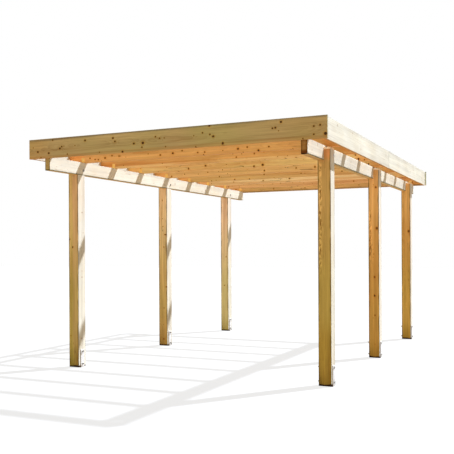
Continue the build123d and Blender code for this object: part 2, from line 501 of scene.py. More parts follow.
# Knots given one by one on the boards that show most: place along the board (a post's height),
# height above its lower edge (distance from a post's left side), both in metres, and radius in
# millimetres, which is one of three sizes
SMALL, MEDIUM, LARGE = 6.0, 8.5, 11.5
PLACED_KNOTS = {
    "front_fascia": (
        (-1.49, 0.07, MEDIUM), (-1.35, 0.05, MEDIUM), (-1.30, 0.18, SMALL), (-1.21, 0.09, MEDIUM),
        (-0.90, 0.15, MEDIUM), (-0.57, 0.15, MEDIUM), (-0.46, 0.01, MEDIUM), (-0.33, 0.08, MEDIUM),
        (-0.24, 0.04, SMALL), (-0.23, 0.08, LARGE), (-0.09, 0.13, SMALL), (0.41, 0.13, SMALL),
        (0.48, 0.19, MEDIUM), (0.52, 0.09, MEDIUM), (1.10, 0.12, SMALL), (1.18, 0.17, MEDIUM),
        (1.48, 0.11, SMALL), (1.48, 0.04, SMALL), (1.585, 0.04, LARGE),
    ),
    "rafter_2": (
        (-1.22, 0.03, SMALL), (-1.09, 0.04, MEDIUM), (-1.00, 0.06, SMALL), (-0.91, 0.05, SMALL),
        (-0.25, 0.04, MEDIUM), (-0.14, 0.06, SMALL), (0.04, 0.03, SMALL), (0.12, 0.03, SMALL),
        (0.49, 0.04, MEDIUM), (0.59, 0.05, SMALL), (0.71, 0.01, MEDIUM), (0.82, 0.04, SMALL),
    ),
    "rafter_4": ((-0.47, 0.05, MEDIUM), (0.16, 0.01, MEDIUM), (0.27, 0.02, LARGE)),
    "rafter_7": ((-0.09, 0.05, MEDIUM),),
    "left_rear_post": ((0.72, 0.06, SMALL), (1.17, 0.09, SMALL)),
    "right_middle_post": (
        (0.73, 0.07, MEDIUM), (0.95, 0.07, MEDIUM), (1.52, 0.10, LARGE), (2.00, 0.09, MEDIUM),
    ),
    "right_rear_post": ((1.53, 0.10, LARGE),),
}
# Slow changes of tone along single boards: where one starts, where it is full (metres along
# the row axis) and the colour that the wood is multiplied by
TONE_SHIFTS = {
    "front_fascia": ((0.9, 1.45, (0.93, 0.90, 0.83)), (-1.25, -1.50, (1.06, 0.96, 0.86))),
    "rear_fascia": ((1.570, 1.584, (1.6, 2.3, 4.4)),),
    "left_front_post": ((0.55, 0.10, (0.93, 0.98, 0.84)),),
    "left_middle_post": ((1.85, 0.80, (0.82, 0.74, 0.62)), (0.70, 0.10, (0.93, 0.84, 0.76))),
    "right_front_post": (
        # The first change paints the top of this post redder, as painted reflected light
        (2.075, 2.150, (1.34, 0.98, 1.05)), (0.70, 0.40, (0.88, 0.83, 0.58)),
        (0.30, 0.10, (1.10, 1.13, 1.30)),
    ),
    "right_middle_post": ((1.30, 1.90, (1.08, 1.17, 1.32)),),
    "right_rear_post": ((1.45, 1.95, (1.13, 1.18, 1.36)),),
}
# Long splits on single posts: distance from the left side, lower and upper end, in metres
SPLITS = {"right_front_post": (0.024, 0.95, 2.09), "right_middle_post": (0.022, 1.0, 1.75)}
# What the sawn ends of single boards are multiplied by, and what darkens the lower part of one end
END_TONES = {
    "left_purlin": (0.67, 0.72, 0.70),
    "right_purlin": (0.34, 0.22, 0.055),
    "front_fascia": (0.96, 0.96, 0.94),
    "rear_fascia": (0.62, 0.66, 0.74),
}
DARK_END_BOTTOMS = {"right_purlin": (0.50, 0.30, 0.12)}
# Shares of their kind's scattered knots that boards with placed knots and side fascias keep
PLACED_SHARE, SIDE_FASCIA_SHARE = 0.5, 0.25

# Colours that the wood is mixed with
# Grey of the rear faces and the tops: weathered wood, and also painted shade that keeps these faces darker
# under the key lamp
REAR_GREY_AND_SHADE = (0.56, 0.47, 0.34)
SILVER_GREY_AND_SHADE = (0.36, 0.32, 0.26)
# Painted sunlight: the pale colour of the right sides, and of their knots and knot rims
PAINTED_SUNLIT = (0.78, 0.770, 0.692)
PAINTED_SUNLIT_KNOT = (0.60, 0.48, 0.33)
PAINTED_SUNLIT_RIM = (0.52, 0.40, 0.27)
# Painted shade along a lower edge
PAINTED_LOWER_EDGE_SHADE = (0.10, 0.09, 0.03)
# Painted highlight on the top of a post
PAINTED_TOP_HIGHLIGHT = (1.0, 0.74, 0.50)

# Colours that the wood is multiplied by
RESIN = (0.95, 0.78, 0.50)
TORN_LIP = (1.42, 1.46, 1.55)
TORN_GAP = (0.50, 0.38, 0.25)
# Damp near the ground, which also darkens a post towards the ground as painted shade
GROUND_DAMP_AND_SHADE = (0.78, 0.87, 0.64)
SPLASHED = (0.72, 0.70, 0.50)
# Painted sunlight: what the rings on the right sides are multiplied by
PAINTED_SUNLIT_RING = (0.95, 0.88, 0.76)
BUTT_JOINT = (0.70, 0.67, 0.60)
END_RIM = (0.42, 0.40, 0.16)
# Painted shadow at the foot of a post
PAINTED_FOOT_SHADOW = (0.06, 0.03, 0.01)


# ---- Materials ----

# For a board along each row axis: the turn that lays its grain along X, and the row axes in the
# order that this gives them
GRAIN_TURN = {"X": (0.0, 0.0, 0.0), "Y": (0.0, 0.0, math.pi / 2), "Z": (0.0, -math.pi / 2, 0.0)}
GRAIN_ORDER = {"X": [0, 1, 2], "Y": [1, 0, 2], "Z": [2, 1, 0]}


def empty_graph(owner):
    """The emptied node tree of a material or a world."""
    owner.use_nodes = True
    owner.node_tree.nodes.clear()
    return Graph(owner.node_tree)


def start_material(name):
    """A material with nothing but a surface shader: material, graph, shader."""
    material = bpy.data.materials.new(name)
    graph = empty_graph(material)
    shader = graph.add("ShaderNodeBsdfPrincipled")
    graph.show("ShaderNodeOutputMaterial", graph.first(shader))
    return material, graph, shader


def add_relief(graph, shader, height, strength, depth):
    """Fine relief on a surface, as deep as depth in metres."""
    bump = graph.first(graph.add("ShaderNodeBump"), Strength=strength, Distance=depth, Height=height)
    graph.put(shader.inputs["Normal"], bump)


class Timber:
    """Pressure-treated softwood for one board, whose colour is built up step by step. The
    board's own box gives the grain direction, its middle and its edges; the seed picks its place
    in the log."""

    def __init__(self, name, look, seed):
        self.name, self.look, self.seed = name, look, seed
        self.low, self.high = box(name)
        self.axis = "XYZ"[int(np.argmax(self.high - self.low))]
        self.material, graph, self.shader = start_material(f"{name}_timber")
        self.graph = graph
        self.place = graph.read("ShaderNodeTexCoord", "Object")
        self.x, self.y, self.z = graph.split(self.place)
        self.along = {"X": self.x, "Y": self.y, "Z": self.z}[self.axis]
        across, lowest = (self.x, self.low[0]) if self.axis == "Z" else (self.z, self.low[2])
        self.up = across - float(lowest)
        self.placed = self.placed_knots()
        self.figure, self.edges = self.board_groups()
        waver = graph.noise(self.place, 2.2, detail=3.0)
        self.wavy_up = self.up + graph.vary(waver, -0.006, 0.006)
        # Masks of weathering, and of painted sunlight and painted shade, by the way that the faces turn
        self.weather = use_group(graph, "Weather", Vector=self.place, Amount=look["bleach"])

    def placed_knots(self):
        """The masks of all the knots that are placed one by one on this board."""
        graph = self.graph
        masks = dict.fromkeys(KNOT_MASKS, 0.0)
        face = graph.join(self.along, self.up)
        for far, up, radius in PLACED_KNOTS.get(self.name, ()):
            knot = use_group(graph, "Placed Knot", Vector=face, Place=(far, up, 0.0), Radius=radius * MM)
            for key in masks:
                masks[key] = graph.math("MAXIMUM", masks[key], knot[key])
        return masks

    def board_groups(self):
        """The figure of the wood and the masks of the board's edges, in board coordinates. The
        heart of the log lies towards one broad side of the board: inside a post, and beyond the
        side of anything else."""
        graph, look = self.graph, self.look
        turned = graph.add("ShaderNodeMapping", vector_type="TEXTURE")
        centre = tuple((self.low + self.high) / 2)
        board = graph.first(turned, Vector=self.place, Location=centre, Rotation=GRAIN_TURN[self.axis])
        size = (self.high - self.low)[GRAIN_ORDER[self.axis]]
        thin = int(np.argmin(size[1:]))
        random = np.random.default_rng(self.seed)
        heart = np.zeros(3)
        heart[1 + thin] = random.choice((-1, 1)) * size[1 + thin] * look["heart_depth"]
        heart[2 - thin] = random.uniform(-0.25, 0.25) * size[2 - thin]
        figure = use_group(
            graph, "Timber Figure", Vector=board, Heart=tuple(heart),
            Seed=float(self.seed) * 1.37 % 17.0, Ring_Width=look["ring_width"],
            Knot_Cell=look["knot_cell"], Knot_Share=look["knot_share"] * self.scattered_share(),
            Knot_Radius=max(abs(heart).max(), 0.05), Smallest_Knot=look["small_knot"],
            Largest_Knot=look["large_knot"], Push=self.placed["Swirl"])
        edges = use_group(
            graph, "Board Edges", Vector=board, Half_Size=tuple(size / 2), Width=look["edge_width"])
        return figure, edges

    def scattered_share(self):
        """Share of its kind's scattered knots that this board has."""
        if self.name in PLACED_KNOTS:
            return PLACED_SHARE
        return SIDE_FASCIA_SHARE if self.name in SIDE_FASCIAS else 1.0

    def cover(self, factor, other):
        """Lays another colour over the wood's."""
        self.colour = self.graph.mix(factor, self.colour, other)

    def tint(self, factor, other):
        """Multiplies the wood's colour by another."""
        self.colour = self.graph.tint(self.colour, factor, other)

    def start_fresh(self):
        """Growth rings, fibres and streaks, in the tone of this board."""
        graph, look, figure = self.graph, self.look, self.figure
        tone = np.array(TONES.get(self.name, (1.0, 1.0, 1.0)))
        early, late = (tuple(look[key] * tone) for key in ("colour", "late_colour"))
        rings = graph.mix(figure["Ring"] * look["ring_strength"], early, late)
        self.level = graph.vary(figure["Fibre"], 0.94, 1.06)
        for mask, swing in (("Streak", look["streak"]), ("Lines", look["lines"])):
            self.level = self.level * graph.spread(figure[mask], 0.32, 0.68, 1.0 - swing, 1.0 + swing)
        self.colour = graph.shade(rings, self.level)
        self.tint(graph.smooth(figure["Streak"], 0.48, 0.34), look["red_streak"])
        self.tint(graph.smooth(figure["Streak"], 0.54, 0.68), look["pale_streak"])
        shifted = self.place + (self.seed * 1.7, self.seed * 0.9, self.seed * 0.3)
        self.tint(graph.spread(graph.noise(shifted, 1.1), 0.42, 0.66, 0.0, look["tint_share"]), look["tint"])

    def add_bands_and_tone_shifts(self):
        """Lengthwise bands, slow changes along the board, resin round knots, and painted shade along the long
        corners.
        """
        graph, look = self.graph, self.look
        for start, end, band in look["bands"] + BANDS.get(self.name, ()):
            soft = min(0.006, (end - start) / 3)
            above = graph.smooth(self.wavy_up, start - soft, start + soft)
            below = graph.smooth(self.wavy_up, end + soft, end - soft)
            self.tint(above * below, band)
        for start, end, tone_shift in look["stains"] + TONE_SHIFTS.get(self.name, ()):
            self.tint(graph.smooth(self.along, start, end), tone_shift)
        self.tint(graph.math("MAXIMUM", self.figure["Halo"], self.placed["Halo"]), RESIN)
        # The long corners take the edge colour as painted shade
        self.cover(self.edges["Edge"] * look["edge_share"], look["edge"])

    def add_split(self):
        """A long torn split with a pale lip and a dark gap, on the posts that have one."""
        if self.name not in SPLITS:
            return
        graph = self.graph
        middle, bottom, top = SPLITS[self.name]
        waver = graph.noise(graph.join(0.0, 0.0, self.z * 9.0))
        line = middle + graph.vary(waver, -0.008, 0.008)
        reach = graph.smooth(self.z, bottom, bottom + 0.25) * graph.smooth(self.z, top, top - 0.05)
        torn = graph.noise(self.place, (120.0, 120.0, 34.0))
        lip = graph.near(self.up, line, 0.019, 0.012) * graph.smooth(torn, 0.50, 0.58)
        gap = graph.near(self.up, line, 0.011, 0.006) * graph.smooth(torn, 0.48, 0.42)
        self.tint(lip * reach, TORN_LIP)
        self.tint(gap * reach, TORN_GAP)

    def add_damp_and_painted_light(self):
        """The lower part of a post, damp and splashed, and darkened towards the ground as painted shade."""
        self.ground_marks = use_group(self.graph, "Ground Damp", Vector=self.place, Reach=2.1, Splash_Height=0.30)
        # Damp, and painted shade, darken the post towards the ground
        self.tint(self.ground_marks["Damp"], GROUND_DAMP_AND_SHADE)
        self.tint(self.ground_marks["Splash"], SPLASHED)

    def add_weather_and_light(self):
        """Rear faces and tops greyed like weathered wood and darkened as painted shade, right sides
        painted pale as painted sunlight, and undersides darkened as painted shade.
        """
        graph, weather = self.graph, self.weather
        # Rear faces greyed like weathered wood and darkened as painted shade
        self.cover(weather["Rear"], REAR_GREY_AND_SHADE)
        # The right sides are painted pale, with faint rings, as painted sunlight
        pale = graph.shade(PAINTED_SUNLIT, self.level ** 0.75)
        pale = graph.tint(pale, self.figure["Ring"] * 0.6, PAINTED_SUNLIT_RING)
        self.cover(weather["Bleach"], pale)
        # Tops greyed like weathered wood and darkened as painted shade
        self.cover(weather["Silver"] * 0.7, SILVER_GREY_AND_SHADE)
        # The undersides are multiplied by a colour of their kind as painted shade
        self.tint(weather["Under"], self.look["under"])

    def add_butt_joint(self):
        """The faint line where two side fascia boards meet."""
        if self.name in SIDE_FASCIAS:
            meeting = self.low[1] if self.name.endswith("rear") else self.high[1]
            self.tint(self.graph.near(self.y, float(meeting), 0.013, 0.004), BUTT_JOINT)

    def add_knots(self):
        """Knots with dark rims, and drying checks, all fainter and paler where the right sides are
        painted pale as painted sunlight.
        """
        graph, look, figure = self.graph, self.look, self.figure
        bleach = self.weather["Bleach"]
        knot_colour = graph.mix(figure["Tone"], look["knot_dark"], look["knot_light"])
        knot_colour = graph.mix(bleach, knot_colour, PAINTED_SUNLIT_KNOT)
        rim_colour = graph.mix(bleach, look["knot_dark"], PAINTED_SUNLIT_RIM)
        strength = graph.spread(bleach, 0.0, 0.8, 1.0, 0.8)
        knot, rim = (graph.math("MAXIMUM", figure[mask], self.placed[mask]) for mask in ("Knot", "Rim"))
        self.cover(knot * strength * 0.95, knot_colour)
        self.cover(rim * strength * 0.6, rim_colour)
        self.cover(figure["Check"] * strength * 0.75, rim_colour)

    def add_lower_edge_shade(self):
        """Painted shade along the lower edge of a face."""
        if self.look["drip"]:
            lowest = float(self.low[2])
            drip = self.graph.smooth(self.z, lowest + 0.013, lowest + 0.005)
            self.cover(drip * (1.0 - self.weather["Under"]) * self.look["drip"], PAINTED_LOWER_EDGE_SHADE)

    def add_ends(self):
        """Sawn ends with a dark rim."""
        end = self.edges["End"]
        self.tint(end * 0.8, END_TONES.get(self.name, self.look["end"]))
        self.tint(self.edges["Rim"] * 0.7, END_RIM)
        if self.name in DARK_END_BOTTOMS:
            # The lower part of this end is made darker
            self.tint(end * self.graph.smooth(self.wavy_up, 0.050, 0.025), DARK_END_BOTTOMS[self.name])

    def add_head_and_foot(self):
        """A painted highlight on the top of a post, and a painted shadow at its foot in its shoe."""
        top = float(self.high[2])
        # A painted highlight along the top of the post
        self.cover(self.graph.smooth(self.z, top - 0.022, top - 0.014), PAINTED_TOP_HIGHLIGHT)
        # A painted shadow at the foot of the post, in the gap over its shoe
        self.tint(self.ground_marks["Foot"], PAINTED_FOOT_SHADOW)

    def set_surface(self):
        """Colour, roughness and relief on the shader."""
        ring, smoothest = self.figure["Ring"], self.look["roughness"] - 0.12
        rough = self.graph.spread(ring, 0.0, 1.0, self.look["roughness"], smoothest)
        rough = rough + self.edges["End"] * 0.15
        self.graph.give(
            self.shader.inputs, Base_Color=self.colour, Roughness=rough, Specular_IOR_Level=0.12)
        add_relief(self.graph, self.shader, self.figure["Height"], strength=0.35, depth=0.7 * MM)


def timber_material(name, look, seed):
    """The finished wood of one board. A look with damp and painted light, which adds damp, splash
    and painted shade low down, a painted highlight on top and a painted shadow at the foot, is for
    those that stand near the ground.
    """
    board = Timber(name, look, seed)
    board.start_fresh()
    board.add_bands_and_tone_shifts()
    board.add_split()
    if look["damp"]:
        board.add_damp_and_painted_light()
    board.add_weather_and_light()
    board.add_butt_joint()
    board.add_knots()
    board.add_lower_edge_shade()
    board.add_ends()
    if look["damp"]:
        board.add_head_and_foot()
    board.set_surface()
    return board.material


def assign(name, material):
    """Gives a node one material in every slot it has."""
    for material_slot in NODES[name].material_slots:
        material_slot.material = material


def finish_boards(names, kind, first_seed):
    """Gives each board its own wood of one kind, with a seed that follows from its place."""
    for number, name in enumerate(names):
        assign(name, timber_material(name, LOOKS[kind], first_seed + number))


def zinc_material():
    """Hot-dip galvanised plate: grey, faintly spangled and dull, with its front and rear edges darkened as
    painted shade.
    """
    material, graph, shader = start_material("galvanised_plate")
    place = graph.read("ShaderNodeTexCoord", "Object")
    zinc = use_group(graph, "Zinc Spangle", Vector=place, Size=0.007)
    colour = graph.mix(zinc["Tone"], (0.74, 0.74, 0.75), (0.84, 0.84, 0.84))
    splash = use_group(graph, "Ground Damp", Vector=place, Reach=0.3)["Splash"]
    colour = graph.mix(splash * 0.35, colour, (0.30, 0.25, 0.18))
    # Faces that turn to the front or the rear are darkened as painted shade
    _, along, _ = graph.split(graph.read("ShaderNodeNewGeometry", "True Normal"))
    painted_edge_shade = graph.smooth(abs(along), 0.6, 0.9)
    colour = graph.mix(painted_edge_shade, colour, (0.16, 0.11, 0.09))
    rough = graph.vary(zinc["Grain"], 0.42, 0.58)
    graph.give(shader.inputs, Base_Color=colour, Metallic=0.1, Roughness=rough)
    add_relief(graph, shader, zinc["Grain"], strength=0.15, depth=0.4 * MM)
    return material


def bracket_material():
    """Yellow passivated zinc on pressed steel: two golds, in clouds."""
    material, graph, shader = start_material("yellow_zinc")
    place = graph.read("ShaderNodeTexCoord", "Object")
    cloud = graph.smooth(graph.noise(place, 45.0, detail=3.0), 0.4, 0.62)
    colour = graph.mix(cloud, (0.98, 0.56, 0.12), (0.92, 0.62, 0.20))
    grain = graph.noise(place, 900.0)
    graph.give(shader.inputs, Base_Color=colour, Metallic=0.5, Roughness=graph.vary(grain, 0.32, 0.48))
    add_relief(graph, shader, grain, strength=0.1, depth=0.3 * MM)
    return material


def bolt_material():
    """Zinc-plated bolt steel, darker than the plate."""
    material, graph, shader = start_material("plated_bolts")
    place = graph.read("ShaderNodeTexCoord", "Object")
    zinc = use_group(graph, "Zinc Spangle", Vector=place, Size=0.003)
    colour = graph.mix(zinc["Tone"], (0.33, 0.31, 0.28), (0.45, 0.43, 0.39))
    graph.give(shader.inputs, Base_Color=colour, Metallic=0.9, Roughness=graph.vary(zinc["Grain"], 0.35, 0.5))
    return material


# ---- Mesh surfaces ----

# A form is its points, its faces of four corners and its faces of three

WASHER_THICKNESS = 2.2 * MM
BRACKET_PLATE = 2.5 * MM
SHARP_ANGLE = math.radians(35.0)  # faces that meet more steeply keep a sharp edge


def ringed_form(reach, heights):
    """A closed form round the Z axis. Ring k lies at heights[k], and the point at each even
    angle on it is reach[k, angle] from the axis; the first and last rings close in a pole."""
    rings, sides = reach.shape
    angle = np.linspace(0.0, 2 * math.pi, sides, endpoint=False)
    level = np.asarray(heights, dtype=float)[:, None] + np.zeros_like(reach)
    grid = np.stack([reach * np.cos(angle), reach * np.sin(angle), level], axis=-1)
    poles = np.array([[0.0, 0.0, heights[0]], [0.0, 0.0, heights[-1]]])
    column = np.arange(sides)
    beside = (column + 1) % sides
    row = np.arange(rings - 1)[:, None] * sides
    quads = np.stack([row + column, row + beside, row + sides + beside, row + sides + column], axis=-1)
    bottom = np.stack([beside, column, np.full(sides, rings * sides)], axis=-1)
    last = (rings - 1) * sides
    top = np.stack([last + column, last + beside, np.full(sides, rings * sides + 1)], axis=-1)
    points = np.concatenate([grid.reshape(-1, 3), poles])
    return points, quads.reshape(-1, 4), np.concatenate([bottom, top])


def turned_form(radii, heights, sides):
    """A round form turned about the Z axis: ring k has radius radii[k] all round."""
    return ringed_form(np.outer(radii, np.ones(sides)), heights)


def washer_form(radius, thickness):
    """A flat disc with a broken upper edge, standing on its seat."""
    bevel = thickness * 0.25
    return turned_form([radius, radius, radius - bevel], [0.0, thickness - bevel, thickness], 28)


def hex_form(across_flats, height):
    """A hexagonal head. A flat side at an angle from its middle is half the width across flats
    over the cosine of that angle away, and a shallow cone cuts the corners at the top."""
    half = across_flats / 2
    angle = np.linspace(0.0, 2 * math.pi, 24, endpoint=False)
    flats = half / np.cos(np.mod(angle, math.pi / 3) - math.pi / 6)
    corner = half / math.cos(math.pi / 6)
    cone = half + (corner - half) * np.array([1.0, 1.0, 0.45, -0.2])
    heights = np.array([0.0, 0.84, 0.93, 1.0]) * height
    return ringed_form(np.minimum(flats, cone[:, None]), heights)


def dome_form(radius, height, sides=28, rings=7):
    """A shallow dome: a cap of the sphere through its rim and its crown, whose radius is the sum
    of the squares of the rim's radius and the height, over twice the height. It stands on a low
    step, a little narrower than the rim."""
    sphere = (radius ** 2 + height ** 2) / (2 * height)
    slope = np.linspace(math.asin(min(1.0, radius / sphere)), 0.02, rings)
    radii = np.concatenate([[radius * 0.98], sphere * np.sin(slope)])
    heights = np.concatenate([[0.0], sphere * np.cos(slope) - (sphere - height) + 0.4 * MM])
    return turned_form(radii, heights, sides)


def rod_end_form(radius, length):
    """The threaded end of a bolt: rings that are by turns wide and narrow, and a broken tip."""
    rings = 13
    radii = radius * (1.0 - 0.07 * (np.arange(rings) % 2))
    heights = np.linspace(0.0, length * 0.9, rings)
    return turned_form(np.append(radii, radius * 0.7), np.append(heights, length), 20)


def turn_to(direction):
    """A 3 by 3 turn that carries +Z to a direction along a row axis."""
    z = np.array(direction, dtype=float)
    x = np.array([0.0, 0.0, 1.0]) if abs(z[2]) < 0.5 else np.array([1.0, 0.0, 0.0])
    return np.stack([x, np.cross(z, x), z], axis=1)


def copies(form, places, directions):
    """One form repeated: each copy is turned to its direction and moved to its place, and the
    numbers of its corners go up by the points of the copies before it."""
    points, quads, triangles = form
    turns = np.stack([turn_to(direction) for direction in directions])
    moved = np.einsum("nij,pj->npi", turns, points) + np.asarray(places)[:, None, :]
    before = (np.arange(len(places)) * len(points))[:, None, None]
    return moved.reshape(-1, 3), (quads + before).reshape(-1, 4), (triangles + before).reshape(-1, 3)


def nuts_on_washers(places, directions, washer_radius, flats, height):
    """A washer at each place with a hexagonal head or nut on it, and where the nuts stand."""
    seats = places + directions * WASHER_THICKNESS
    washers = copies(washer_form(washer_radius, WASHER_THICKNESS), places, directions)
    return [washers, copies(hex_form(flats, height), seats, directions)], seats


def bolt_ends(bolts):
    """Where the heads and the nuts of bolts across the frame stand, and the way out at each.
    A bolt's row holds that way (-1 or 1 along X), its outer and inner X, its Y and its Z."""
    side, outer, inner, along, up = np.array(bolts).T
    heads, nuts = (np.stack([end, along, up], axis=1) for end in (outer, inner))
    return heads, nuts, np.outer(side, (1.0, 0.0, 0.0))


def add_piece(name, forms, material):
    """Joins forms into one object that rides on the carport."""
    before = np.cumsum([0] + [len(form[0]) for form in forms])
    points = np.concatenate([form[0] for form in forms])
    quads = np.concatenate([form[1] + start for form, start in zip(forms, before)])
    triangles = np.concatenate([form[2] + start for form, start in zip(forms, before)])
    mesh = bpy.data.meshes.new(name)
    mesh.from_pydata(points.tolist(), [], quads.tolist() + triangles.tolist())
    mesh.validate()
    mesh.polygons.foreach_set("use_smooth", np.ones(len(mesh.polygons), dtype=bool))
    mesh.set_sharp_from_angle(angle=SHARP_ANGLE)
    mesh.materials.append(bpy.data.materials[material])
    piece = bpy.data.objects.new(name, mesh)
    bpy.context.scene.collection.objects.link(piece)
    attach(piece, "root")


# ---- Stage ----

FLOOR_HALF = 40.0  # metres from its middle to its sides
SHADOWED_FLOOR = (0.17, 0.17, 0.17)  # what it throws back of the lamps, so that shadows show
FLOOR_GLOW = 0.80  # what lifts it to white
TOWARDS_KEY = (0.476, 0.67, 1.0)
KEY_COLOUR = (0.94, 1.01, 1.13)
FILL_COLOUR = (1.0, 0.90, 0.73)
LAMP_DISTANCE = 12.0


def lit_or_seen(graph, lit, seen):
    """One shader for the light that falls on the frame and another for what is seen, directly,
    through glass or mirrored."""
    path = graph.values(graph.add("ShaderNodeLightPath"))
    direct = graph.math("MAXIMUM", path["Is Camera Ray"], path["Is Transmission Ray"])
    direct = graph.math("MAXIMUM", direct, path["Is Glossy Ray"])
    return graph.first(graph.add("ShaderNodeMixShader"), direct, lit, seen)


def lay_floor(studio):
    """A pale floor under the posts. What is seen of it is white with the frame's shadow; the
    frame itself is lit by the floor's own colour."""
    low, high = -FLOOR_HALF, FLOOR_HALF
    corners = [(low, low, 0), (high, low, 0), (high, high, 0), (low, high, 0)]
    mesh = bpy.data.meshes.new("floor")
    mesh.from_pydata(corners, [], [(0, 1, 2, 3)])
    floor = bpy.data.objects.new("floor", mesh)
    bpy.context.scene.collection.objects.link(floor)
    material = bpy.data.materials.new("studio_floor")
    graph = empty_graph(material)
    lit = graph.first(graph.add("ShaderNodeBsdfDiffuse"), Color=tuple(studio.floor_colour))
    shadowed = graph.first(graph.add("ShaderNodeBsdfDiffuse"), Color=SHADOWED_FLOOR)
    glow = graph.first(graph.add("ShaderNodeEmission"), Strength=FLOOR_GLOW)
    seen = graph.first(graph.add("ShaderNodeAddShader"), shadowed, glow)
    graph.show("ShaderNodeOutputMaterial", lit_or_seen(graph, lit, seen))
    mesh.materials.append(material)


def add_sun(name, towards, strength, softness, colour):
    """A distant lamp; towards points from the frame to the lamp."""
    lamp = bpy.data.lights.new(name, "SUN")
    lamp.energy = strength
    lamp.angle = softness
    lamp.color = colour
    towards = np.array(towards) / np.linalg.norm(towards)
    across = np.cross([0.0, 0.0, 1.0], towards)
    across /= np.linalg.norm(across)
    turn = np.column_stack([across, np.cross(towards, across), towards, towards * LAMP_DISTANCE])
    sun = bpy.data.objects.new(name, lamp)
    sun.matrix_world = Matrix(np.vstack([turn, [0.0, 0.0, 0.0, 1.0]]).tolist())
    bpy.context.scene.collection.objects.link(sun)


def set_lamps(studio):
    """A soft key from the rear right and above, and a fill from all round that grows towards
    the front."""
    add_sun("key", TOWARDS_KEY, studio.key_strength, studio.key_softness, KEY_COLOUR)
    world = bpy.data.worlds.new("studio")
    graph = empty_graph(world)
    _, towards, _ = graph.split(graph.read("ShaderNodeTexCoord", "Generated"))
    facing_front = graph.spread(towards, 0.0, -1.0, 0.0, 1.0) ** 2.0
    strength = facing_front * studio.front_strength + studio.fill_strength
    fill = graph.first(graph.add("ShaderNodeBackground"), Color=FILL_COLOUR, Strength=strength)
    white = graph.first(graph.add("ShaderNodeBackground"), Color=(1.0, 1.0, 1.0))
    graph.show("ShaderNodeOutputWorld", lit_or_seen(graph, fill, white))
    bpy.context.scene.world = world


def set_camera():
    """At eye height in front of the right side, looking level and to the left."""
    to_right, in_front, eye_height = 3.3947, 5.9433, 1.2622
    turn_left, roll = math.radians(24.76), math.radians(-0.267)
    lens = bpy.data.cameras.new("camera")
    lens.sensor_width = 36.0
    lens.lens = 57.21
    lens.shift_y = 0.0529
    camera = bpy.data.objects.new("camera", lens)
    place = Matrix.Translation((to_right, CAD_BOX[0][1] - in_front, eye_height))
    level = Matrix.Rotation(turn_left, 4, "Z") @ Matrix.Rotation(math.radians(90.0), 4, "X")
    camera.matrix_world = place @ level @ Matrix.Rotation(roll, 4, "Z")
    bpy.context.scene.collection.objects.link(camera)
    bpy.context.scene.camera = camera


# ---- Settings ----

class CARPORT_PG_fixings(bpy.types.PropertyGroup):
    """Sizes of the bolts and nails."""

    shoe_bolt_flats: FloatProperty(
        name="Shoe Bolt Flats", description="Width across the flats of the bolt heads on the shoes",
        default=0.018, unit="LENGTH")
    shoe_bolt_low: FloatProperty(
        name="Lower Shoe Bolt", description="Height of the lower bolt above the ground",
        default=0.040, unit="LENGTH")
    shoe_bolt_high: FloatProperty(
        name="Upper Shoe Bolt", description="Height of the upper bolt above the ground",
        default=0.176, unit="LENGTH")
    purlin_bolt_head: FloatProperty(
        name="Purlin Bolt Head", description="Diameter of the domed heads on the post heads",
        default=0.026, unit="LENGTH")
    purlin_bolt_inset: FloatProperty(
        name="Purlin Bolt Inset", description="Distance of the bolt from the post's rear face",
        default=0.028, unit="LENGTH")
    purlin_bolt_height: FloatProperty(
        name="Purlin Bolt Height", description="Height of the bolt above the purlin's underside",
        default=0.053, unit="LENGTH")
    nail_head: FloatProperty(
        name="Nail Head", description="Diameter of the nail heads in the angle brackets",
        default=0.0075, unit="LENGTH")


class CARPORT_PG_studio(bpy.types.PropertyGroup):
    """Lamps and floor."""

    key_strength: FloatProperty(
        name="Key Strength", description="Strength of the soft key light from the rear right",
        default=6.4, min=0.0)
    key_softness: FloatProperty(
        name="Key Softness", description="Angle that the key light fills in the sky",
        default=math.radians(1.5), subtype="ANGLE")
    fill_strength: FloatProperty(
        name="Fill Strength", description="Strength of the even light from all round",
        default=0.04, min=0.0)
    front_strength: FloatProperty(
        name="Front Strength", description="Strength that the fill gains towards the front",
        default=1.5, min=0.0)
    floor_colour: FloatVectorProperty(
        name="Floor Colour", description="Colour that the floor throws back on the frame",
        default=(0.54, 0.445, 0.325), subtype="COLOR", size=3, min=0.0, max=1.0)


# ---- Operators ----

class CARPORT_OT_groups(bpy.types.Operator):
    """Build the shared shader groups"""

    bl_idname = "carport.groups"
    bl_label = "Build Shader Groups"

    def execute(self, context):
        build_groups()
        return {"FINISHED"}


class CARPORT_OT_fascias(bpy.types.Operator):
    """Finish the fascia boards round the roof"""

    bl_idname = "carport.fascias"
    bl_label = "Finish Fascia Boards"

    def execute(self, context):
        finish_boards(END_FASCIAS + SIDE_FASCIAS, "fascia", first_seed=11)
        return {"FINISHED"}


class CARPORT_OT_beams(bpy.types.Operator):
    """Finish the purlins and the rafters"""

    bl_idname = "carport.beams"
    bl_label = "Finish Purlins and Rafters"

    def execute(self, context):
        finish_boards(PURLINS, "purlin", first_seed=31)
        finish_boards(RAFTERS, "rafter", first_seed=41)
        return {"FINISHED"}


class CARPORT_OT_posts(bpy.types.Operator):
    """Finish the posts"""

    bl_idname = "carport.posts"
    bl_label = "Finish Posts"

    def execute(self, context):
        finish_boards(POSTS, "post", first_seed=61)
        return {"FINISHED"}


class CARPORT_OT_steel(bpy.types.Operator):
    """Finish the post shoes and the angle brackets, and make the material of the bolts"""

    bl_idname = "carport.steel"
    bl_label = "Finish Shoes and Brackets"

    def execute(self, context):
        plate = zinc_material()
        for name in SHOES:
            assign(name, plate)
        yellow = bracket_material()
        for name in BRACKETS:
            assign(name, yellow)
        bolt_material()
        return {"FINISHED"}


